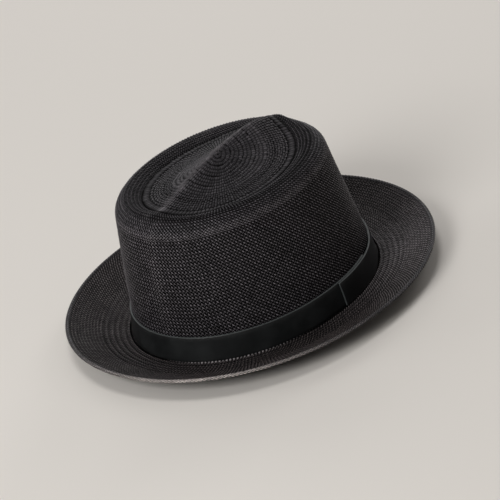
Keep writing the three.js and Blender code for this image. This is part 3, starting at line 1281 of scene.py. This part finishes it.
@dataclass
class Brim:
    """The woven brim: a dark core, strands above and below, and a rolled edge."""

    # for each ring of the brim: its columns, the share of the width where it begins, its
    # rows' pitch, how deep its ribs are, how many rows a rib takes, how much flatter the ribs
    # get across the hat from the deepest and how dark painted shade makes their grooves
    rings: tuple[tuple[int, float, float, float, int, float, float], ...] = (
        (252, 0.03, 2.2, 0.60, 2, 0.95, 0.80), (312, 0.52, 2.4, 0.14, 1, 0.0, 0.40))
    deepest: float = 42 * DEGREE
    roll_starts: float = 0.955
    # the core's height over the face, its steps, and the share of the width where it ends
    core: float = -0.78 * MM
    core_steps: int = 24
    core_ends: float = 0.99
    roll_columns: int = 300
    roll_rows: int = 4
    # how far the faces are greyed and paled all round but for the brown side, which is left dark
    # as painted shade and a painted reflection of the floor; how far a painted sheen pales them
    # behind it; and where and how far round the roll it is paled, partly rubbing and dust and
    # partly painted light bounced up from the floor
    grey: float = 0.22
    shade_brown_at: float = 74 * DEGREE
    shade_brown_half: float = 40 * DEGREE
    painted_sheen: float = 0.46
    sheen_at: float = 138 * DEGREE
    sheen_half: float = 28 * DEGREE
    bounce_and_wear_at: float = 27 * DEGREE
    bounce_and_wear_half: float = 33 * DEGREE
    bounce_and_wear_turn: Pair = (1.0, 1.9)
    roll_from: float = -0.35
    roll_to: float = 3.7

    def make_face(self, name: str, side: Side, across: int, sink: float) -> Mesh:
        """Weaves one face of the brim.

        Args:
            name: the mesh's name.
            side: the face.
            across: faces across a strand.
            sink: how far the strands lie in the face.

        Returns:
            The face's mesh.
        """
        shares = [ring[1] for ring in self.rings] + [self.roll_starts]
        meshes = []
        for ring, share in zip(self.rings, shares[1:]):
            columns, start, pitch, rib, rib_rows, eased, groove_shade = ring
            woven = Weave(
                columns, BRIM.run_at(start), BRIM.run_at(share), pitch * MM, strand=0.48,
                round_=0.36 * MM, rib=rib * MM, last_rib=rib * MM, rib_rows=rib_rows,
                across=across, sink=sink, wander=0.10, groove_shade=groove_shade, eased=eased,
                deepest=self.deepest, gauge_sheen_and_wear=self.face_reflection_and_sheen)
            meshes.append(woven.mesh("ring", BRIM, partial(BRIM.skin, side=side)))
        return gather(name, meshes)

    def face_reflection_and_sheen(self, run: Array, angle: Array) -> Array:
        """Gives how far the faces are painted paler: least at the wearer's left, left dark there as
        painted shade and floor reflection, and most behind it, a painted sheen.
        """
        grey = self.grey * (1 - hump_at(angle, self.shade_brown_at, self.shade_brown_half))
        return grey + self.painted_sheen * hump_at(angle, self.sheen_at, self.sheen_half)

    def edge_wear_and_bounce_light(self, turned: Array, angle: Array) -> Array:
        """Gives how far the roll is paled on its outside at the front: partly rubbing and dust
        where hands take it, partly painted light bounced up from the floor.
        """
        return ease(turned, *self.bounce_and_wear_turn) * hump_at(angle, self.bounce_and_wear_at, self.bounce_and_wear_half)

    def make_roll(self) -> Mesh:
        """Weaves the rolled edge."""
        pitch = (self.roll_to - self.roll_from) / self.roll_rows
        roll = Weave(self.roll_columns, self.roll_from, self.roll_to, pitch, strand=0.66,
                     wave=0.25, round_=0.22, sink=0.2, wander=0.0, gauge_sheen_and_wear=self.edge_wear_and_bounce_light)

        def lay(turned: Array, angle: Array, lift: Array) -> Array:
            """Lays points on the roll; its lifts are in millimetres."""
            return BRIM.roll(turned, angle, lift * MM)

        return roll.mesh("brim_roll_weave", BRIM, lay)

    def make_core(self) -> Mesh:
        """Makes the thin closed core."""
        shares = [*np.linspace(0, self.roll_starts, self.core_steps), self.core_ends]
        chain = [(BRIM.run_at(share), self.core) for share in shares]
        under = [(run, -2 * BRIM.half - self.core) for run, _ in reversed(chain)]
        lay = partial(BRIM.skin, side=Side.TOP)
        return Shell().mesh("brim_core", BRIM, lay, chain + under, closed=True)

    def build(self) -> list[bpy.types.Object]:
        """Builds and dresses the brim's pieces."""
        # brown straw, greyed and paled by the faces' share but for the near side, where it stays
        # dark and brown as painted shade and floor reflection
        straw = StrawFinish(
            "brim_straw", pale=(0.162, 0.133, 0.129, 1), heavy=0.75, light=0.45,
            lit=(0.05, 0.90), edge=0.25).material()
        # the roll's pale colour on its front outside is partly rubbing and dust and partly painted
        # light bounced up from the floor
        edge = StrawFinish(
            "roll_straw", pale=(0.20, 0.182, 0.195, 1), sheen_and_wear=(0.90, 0.81, 0.76, 1),
            lit=(0.05, 0.65)).material()
        core = CoreFinish("brim_core_straw").material()
        top = self.make_face("brim_top_weave", Side.TOP, across=2, sink=0.30 * MM)
        under = self.make_face("brim_under_weave", Side.UNDER, across=1, sink=0.80 * MM)
        made = ((self.make_core(), core), (top, straw), (under, straw), (self.make_roll(), edge))
        return [fit_piece(mesh, material, "brim") for mesh, material in made]


@dataclass
class Band:
    """The leather band: one strip bent round the foot of the crown, its ends lapped."""

    # how long the strip is cut; the bending stretches it to its place
    length: float = 0.6
    height: float = 19.4 * MM
    leather: float = 1.6 * MM
    gap: float = 0.3 * MM
    bow: float = 0.15 * MM
    # degrees from the front: where the ends lie, and how far the climb over the lap runs
    outer_end: float = 94
    inner_end: float = 118
    ramp: float = 26
    steps: int = 240
    rises: int = 6
    softened: float = 0.45 * MM
    pale_edge: float = 0.9

    @property
    def turn(self) -> float:
        """Degrees from the inner end to the outer end."""
        return 360 + self.inner_end - self.outer_end

    def strip(self) -> Mesh:
        """Cuts the straight strip, softens its edges and scores it so that it can bend."""
        cut = bmesh.new()
        bmesh.ops.create_cube(cut, size=1)
        size = (self.length, self.leather, self.height)
        bmesh.ops.scale(cut, vec=size, verts=cut.verts[:])
        bmesh.ops.translate(cut, vec=[side / 2 for side in size], verts=cut.verts[:])
        bmesh.ops.bevel(cut, geom=cut.edges[:], offset=self.softened, offset_type="OFFSET",
                        affect="EDGES", segments=3, profile=0.5, material=-1)
        for parts, side, way in ((self.steps, self.length, (1, 0, 0)),
                                 (self.rises, self.height, (0, 0, 1))):
            for step in range(1, parts):
                everything = cut.verts[:] + cut.edges[:] + cut.faces[:]
                place = Vector(way) * (side * step / parts)
                bmesh.ops.bisect_plane(cut, geom=everything, plane_co=place, plane_no=way)
        return into_mesh(cut, "hat_band_leather")

    def bend(self, mesh: Mesh) -> None:
        """Bends the strip round the crown, the outer end climbing over the inner end."""
        along, deep, up = points_of(mesh).T
        turned = along / self.length * self.turn
        angle = np.radians(self.inner_end - turned)
        climb = ease(turned, 360 - self.ramp, 360)
        standoff = self.gap + climb * (self.leather + self.gap)
        place = BAND_TOP * up / CROWN_LEVELS[BAND_TOP, 3]
        wall = CROWN.point(place, angle)
        out = np.stack([wall[:, 0] / CROWN_LEVELS[0, 1] ** 2,
                        (wall[:, 1] - CROWN_LEVELS[0, 2]) / CROWN_LEVELS[0, 0] ** 2,
                        np.zeros(len(wall))], axis=1)
        out /= np.linalg.norm(out, axis=1, keepdims=True)
        bowed = self.bow * np.sin(math.pi * up / self.height)
        move_points(mesh, wall + out * (standoff + deep + bowed)[:, None])
        inset = np.min([up, self.height - up, along, self.length - along], axis=0)
        # how near the cut edges each point lies, for their paler colour, partly a painted highlight
        write(mesh, "rim", 1 - ease(inset, 0.0, self.pale_edge * self.softened))

    def build(self) -> list[bpy.types.Object]:
        """Builds and dresses the band."""
        mesh = self.strip()
        self.bend(mesh)
        face_out(mesh)
        leather = LeatherFinish("band_leather").material()
        return [fit_piece(mesh, leather, "hat_band")]


@dataclass
class Stitches:
    """The row of turned-down strands just outside the band's foot."""

    count: int = 222
    out: float = 4.9 * MM
    long: float = 2.0 * MM
    wide: float = 1.5 * MM
    high: float = 1.5 * MM
    raised: float = 0.5 * MM
    turned: float = 0.5
    across: float = 0.08
    nudge: float = 1e-3
    # where the row is painted lit, how dim it is left elsewhere, a painted shade under the band,
    # and how dim at its foot, a painted shade where it meets the brim
    lit_at: float = 36 * DEGREE
    lit_half: float = 26 * DEGREE
    least_lit: float = 0.35
    foot_lit: float = 0.6

    def build(self) -> list[bpy.types.Object]:
        """Builds and dresses the row."""
        row = bmesh.new()
        bmesh.ops.create_uvsphere(row, u_segments=8, v_segments=5, radius=0.5)
        bmesh.ops.scale(row, vec=(self.long, self.wide, self.high), verts=row.verts[:])
        bmesh.ops.rotate(row, verts=row.verts[:], cent=(0, 0, 0),
                         matrix=Matrix.Rotation(self.turned, 3, "Z"))
        template = [vert.co.copy() for vert in row.verts]
        one = row.verts[:] + row.edges[:] + row.faces[:]
        for _ in range(self.count - 1):
            bmesh.ops.duplicate(row, geom=one)
        for face in row.faces:
            face.smooth = True
        mesh = into_mesh(row, "brim_turn_row")
        local = np.tile(np.array(template), (self.count, 1))
        number = np.repeat(np.arange(self.count), len(template))
        angle = BRIM.angle_at(number / self.count)
        even = np.ones(len(angle))
        seat, ahead = (BRIM.skin(self.out * even, angle + step, 0 * even, Side.TOP)
                       for step in (0, self.nudge))
        along = ahead - seat
        along /= np.linalg.norm(along, axis=1, keepdims=True)
        up = BRIM.out(self.across * even, angle)
        side = np.cross(up, along)
        move_points(mesh, seat + along * local[:, :1] + side * local[:, 1:2]
                    + up * (local[:, 2:] + self.raised))
        # painted light and shade: the row is lit at the front, and dimmed elsewhere and towards its
        # foot
        lit = hump(angle - self.lit_at, self.lit_half)
        lit = self.least_lit + (1 - self.least_lit) * lit
        foot = self.foot_lit + (1 - self.foot_lit) * local[:, 2] / self.high
        write(mesh, "tint", scatter(number))
        write(mesh, "over", foot * lit)
        write(mesh, "kind", Strands.HEAVY.value * even)
        middles = np.tile((0.5, 0.0), len(mesh.loops)).astype(np.float32)
        mesh.uv_layers.new(name="strand").data.foreach_set("uv", middles)
        straw = StrawFinish("turn_straw", pale=(0.60, 0.55, 0.56, 1)).material()
        return [fit_piece(mesh, straw, "brim")]


# Studio


@dataclass
class Studio:
    """The pale floor, the soft lights and the camera at the photograph's angle."""

    target: tuple[float, float, float] = (0.0, 1.2 * MM, 52.1 * MM)
    azimuth: float = 49.2 * DEGREE
    elevation: float = 27.2 * DEGREE
    roll: float = 14.88 * DEGREE
    distance: float = 2441.5 * MM
    focal_pixels: float = 3227.8
    frame_pixels: float = 500.0
    target_at: Pair = (240.24, 233.34)
    sensor: float = 36.0
    clip: Pair = (0.1, 20)
    floor: float = 6
    room: Colour = (1.0, 0.97, 0.94, 1)
    room_strength: float = 0.14
    # the lights: name, degrees from the camera's side of the hat to the camera's right,
    # degrees above the floor, distance, width and height, and power
    lights: tuple[tuple[str, float, float, float, Pair, float], ...] = (
        ("key", -38, 34, 2.0, (0.8, 0.8), 19),
        ("back", 187, 28, 2.4, (1.8, 1.0), 11),
        ("right", 142, 20, 2.0, (0.7, 0.7), 7),
        ("far", 250, 30, 2.2, (0.8, 0.8), 4),
        ("top", 0, 88, 2.6, (0.9, 0.9), 14),
    )

    def make_camera(self) -> None:
        """Sets the camera up and aims it so that the hat lies where it does in the photograph."""
        data = bpy.data.cameras.new("camera")
        data.sensor_width = self.sensor
        data.lens = self.focal_pixels / self.frame_pixels * self.sensor
        camera = add_object("camera", data)
        bpy.context.scene.camera = camera
        back = direction(self.azimuth, self.elevation)
        level = Vector((0, 0, 1)).cross(back).normalized()
        rise = back.cross(level)
        c, s = math.cos(self.roll), math.sin(self.roll)
        right, up = level * c - rise * s, level * s + rise * c
        centre = self.frame_pixels / 2
        scale = self.distance / self.focal_pixels
        shift = right * (centre - self.target_at[0]) * scale
        shift = shift - up * (centre - self.target_at[1]) * scale
        place = Vector(self.target) + back * self.distance
        aim = Vector(self.target) + shift
        away = (place - aim).normalized()
        side = up.cross(away).normalized()
        top = away.cross(side)
        turned = Matrix((side, top, away)).transposed().to_4x4()
        camera.matrix_world = Matrix.Translation(place) @ turned
        data.clip_start, data.clip_end = self.clip

    def soft_light(self, name: str, turned: float, raised: float, away: float,
                   size: Pair, watts: float) -> None:
        """Hangs a large soft light that looks at the hat.

        Args:
            name: the light's name.
            turned: degrees from the camera's side of the hat, to the camera's right.
            raised: degrees above the floor.
            away: its distance.
            size: its width and height.
            watts: its power.
        """
        data = bpy.data.lights.new(name, "AREA")
        data.shape, data.energy = "RECTANGLE", watts
        data.size, data.size_y = size
        light = add_object(name, data)
        out = direction(self.azimuth + math.radians(turned), math.radians(raised))
        light.location = Vector(self.target) + out * away
        light.rotation_mode = "QUATERNION"
        light.rotation_quaternion = (-out).to_track_quat("-Z", "Y")

    def make_floor(self) -> None:
        """Lays the floor that the hat rests on."""
        sheet = bmesh.new()
        bmesh.ops.create_grid(sheet, x_segments=2, y_segments=2, size=self.floor)
        floor = add_object("floor", into_mesh(sheet, "floor"))
        floor.data.materials.append(FloorFinish("floor_paper").material())

    def make_world(self) -> None:
        """Fills the room with a weak even light."""
        world = bpy.data.worlds.new("room")
        bpy.context.scene.world = world
        world.use_nodes = True
        back = world.node_tree.nodes["Background"]
        back.inputs[0].default_value = self.room
        back.inputs[1].default_value = self.room_strength

    def build(self) -> None:
        """Builds the studio."""
        self.make_camera()
        self.make_floor()
        self.make_world()
        for light in self.lights:
            self.soft_light(*light)
        bpy.context.scene.view_settings.view_transform = "Standard"


def main() -> None:
    """Builds the hat and its studio."""
    logging.basicConfig(level=logging.INFO, format="%(name)s %(message)s")
    for assembly in (Crown(), Brim(), Stitches(), Band()):
        for piece in assembly.build():
            log.info("%s built", piece.name)
    Studio().build()


if __name__ == "__main__":
    main()
